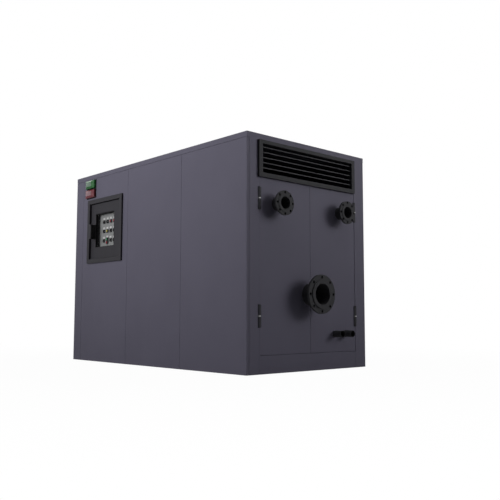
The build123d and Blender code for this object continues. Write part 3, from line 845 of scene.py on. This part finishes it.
def door_handle():
    """The block handle: a foot on the door, a narrower body and a grey plate on its front."""
    across, up, out = spans("control_door_handle")
    up = (up[0], up[1] + HANDLE_RISE)
    foot = (out[0], out[0] + HANDLE_FOOT)
    body = (foot[1] - HANDLE_NECK, out[1] - HANDLE_PLATE_THICKNESS / 2)
    bm = bmesh.new()
    block(bm, control_side, across, up, foot, HANDLE_NECK)
    block(bm, control_side, shrunk(across, HANDLE_NECK / 2), shrunk(up, HANDLE_NECK / 2), body, HANDLE_ROUND)
    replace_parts(finish_piece("door_handle_body", bm, "black_plastic", "control_door"), "control_door_handle")
    plate_across = shrunk(across, HANDLE_PLATE_MARGIN)
    plate_up = shrunk(up, HANDLE_PLATE_MARGIN)
    plate_out = (out[1] - HANDLE_PLATE_THICKNESS, out[1])
    bm = bmesh.new()
    block(bm, control_side, plate_across, plate_up, plate_out, PLATE_ROUND)
    finish_piece("door_handle_plate", bm, "control_paint", "control_door")


def paint_nodes():
    """Every node of the frame gets the finish of its slot, or its own shade of it, which is painted light on
    the drain stubs and louvre blades and painted shade on the control door.
    """
    for part in frame["record"]["subparts"]:
        node = part["node"]
        shade = NODE_FINISHES.get(node, part["material_slot"])
        slots = frame["nodes"][node].data.materials
        slots.clear()
        slots.append(FINISHES[shade])


def make_camera():
    """The camera at the photograph's viewing angle."""
    azimuth = math.radians(CAMERA_AZIMUTH)
    elevation = math.radians(CAMERA_ELEVATION)
    level = math.cos(elevation)
    ahead = Vector((-math.sin(azimuth) * level, math.cos(azimuth) * level, -math.sin(elevation)))
    right = Vector((math.cos(azimuth), math.sin(azimuth), 0))
    right = Matrix.Rotation(-math.radians(CAMERA_ROLL), 3, ahead) @ right
    up = right.cross(ahead)
    camera = bpy.data.objects.new("camera", bpy.data.cameras.new("camera"))
    camera.data.lens = CAMERA_LENS
    camera.data.sensor_width = CAMERA_SENSOR
    turn = Matrix((right, up, -ahead)).transposed().to_4x4()
    camera.matrix_world = Matrix.Translation(CAMERA_PLACE) @ turn
    bpy.context.scene.collection.objects.link(camera)
    bpy.context.scene.camera = camera


def seen_rays(tree):
    """One for camera, glossy and transmission rays, and zero for the rays that light the object."""
    path = tree.nodes.new("ShaderNodeLightPath")
    total = path.outputs["Is Camera Ray"]
    for name in ("Is Glossy Ray", "Is Transmission Ray"):
        node = tree.nodes.new("ShaderNodeMath")
        node.operation = "MAXIMUM"
        tree.links.new(total, node.inputs[0])
        tree.links.new(path.outputs[name], node.inputs[1])
        total = node.outputs[0]
    return total


def make_world():
    """A plain studio: an even soft light, with white behind the object."""
    world = bpy.data.worlds.new("studio")
    world.use_nodes = True
    tree = world.node_tree
    light = tree.nodes["Background"]
    light.inputs["Color"].default_value = WORLD_COLOUR
    light.inputs["Strength"].default_value = WORLD_LIGHT
    white = tree.nodes.new("ShaderNodeBackground")
    white.inputs["Color"].default_value = WHITE
    mix = tree.nodes.new("ShaderNodeMixShader")
    tree.links.new(seen_rays(tree), mix.inputs["Fac"])
    tree.links.new(light.outputs[0], mix.inputs[1])
    tree.links.new(white.outputs[0], mix.inputs[2])
    tree.links.new(mix.outputs[0], tree.nodes["World Output"].inputs["Surface"])
    bpy.context.scene.world = world


def floor_material():
    """A matt floor that shows almost white near the object, and white far from it."""
    material = bpy.data.materials.new("floor")
    material.use_nodes = True
    tree = material.node_tree
    shader = tree.nodes["Principled BSDF"]
    shader.inputs["Base Color"].default_value = FLOOR_COLOUR
    shader.inputs["Roughness"].default_value = FLOOR_ROUGHNESS
    shader.inputs["Specular IOR Level"].default_value = 0.0
    white = tree.nodes.new("ShaderNodeEmission")
    distance = tree.nodes.new("ShaderNodeVectorMath")
    distance.operation = "LENGTH"
    fade = tree.nodes.new("ShaderNodeMapRange")
    limits = (FLOOR_WHITE_FROM, FLOOR_WHITE_TO, *FLOOR_WHITE_SHARES)
    for limit, name in zip(limits, RANGE_SOCKETS):
        fade.inputs[name].default_value = limit
    share = tree.nodes.new("ShaderNodeMath")
    share.operation = "MULTIPLY"
    mix = tree.nodes.new("ShaderNodeMixShader")
    tree.links.new(tree.nodes.new("ShaderNodeTexCoord").outputs["Object"], distance.inputs[0])
    tree.links.new(distance.outputs["Value"], fade.inputs["Value"])
    tree.links.new(fade.outputs["Result"], share.inputs[1])
    tree.links.new(seen_rays(tree), share.inputs[0])
    tree.links.new(share.outputs[0], mix.inputs["Fac"])
    tree.links.new(shader.outputs[0], mix.inputs[1])
    tree.links.new(white.outputs[0], mix.inputs[2])
    tree.links.new(mix.outputs[0], tree.nodes["Material Output"].inputs["Surface"])
    return material


def make_floor():
    """The floor under the object, which keeps its shadow."""
    mesh = bpy.data.meshes.new("floor")
    ends = (-FLOOR_HALF, FLOOR_HALF)
    corners = [(ends[right], ends[top], CAD_BOX[0].z) for right, top in CORNERS]
    mesh.from_pydata(corners, [], [range(len(corners))])
    mesh.materials.append(floor_material())
    floor = bpy.data.objects.new("floor", mesh)
    bpy.context.scene.collection.objects.link(floor)


def make_lights():
    """The softboxes round the object and over it."""
    for name, place, target, side, spread, power in LIGHTS:
        lamp = bpy.data.lights.new(name, "AREA")
        lamp.size = side
        lamp.spread = math.radians(spread)
        lamp.energy = power
        light = bpy.data.objects.new(name, lamp)
        light.location = place
        light.rotation_euler = (Vector(target) - Vector(place)).to_track_quat("-Z", "Y").to_euler()
        bpy.context.scene.collection.objects.link(light)


paint_nodes()
window_lining_and_shade()
door_sill()
pipe_collars()
stub_bore_shades()
hole_shades()
hinge_leaves()
hinge_studs()
weld_beads()
switches()
switch_caps()
switch_plates()
signal_lamps()
door_handle()
make_camera()
make_world()
make_floor()
make_lights()
bpy.context.scene.view_settings.view_transform = "Standard"
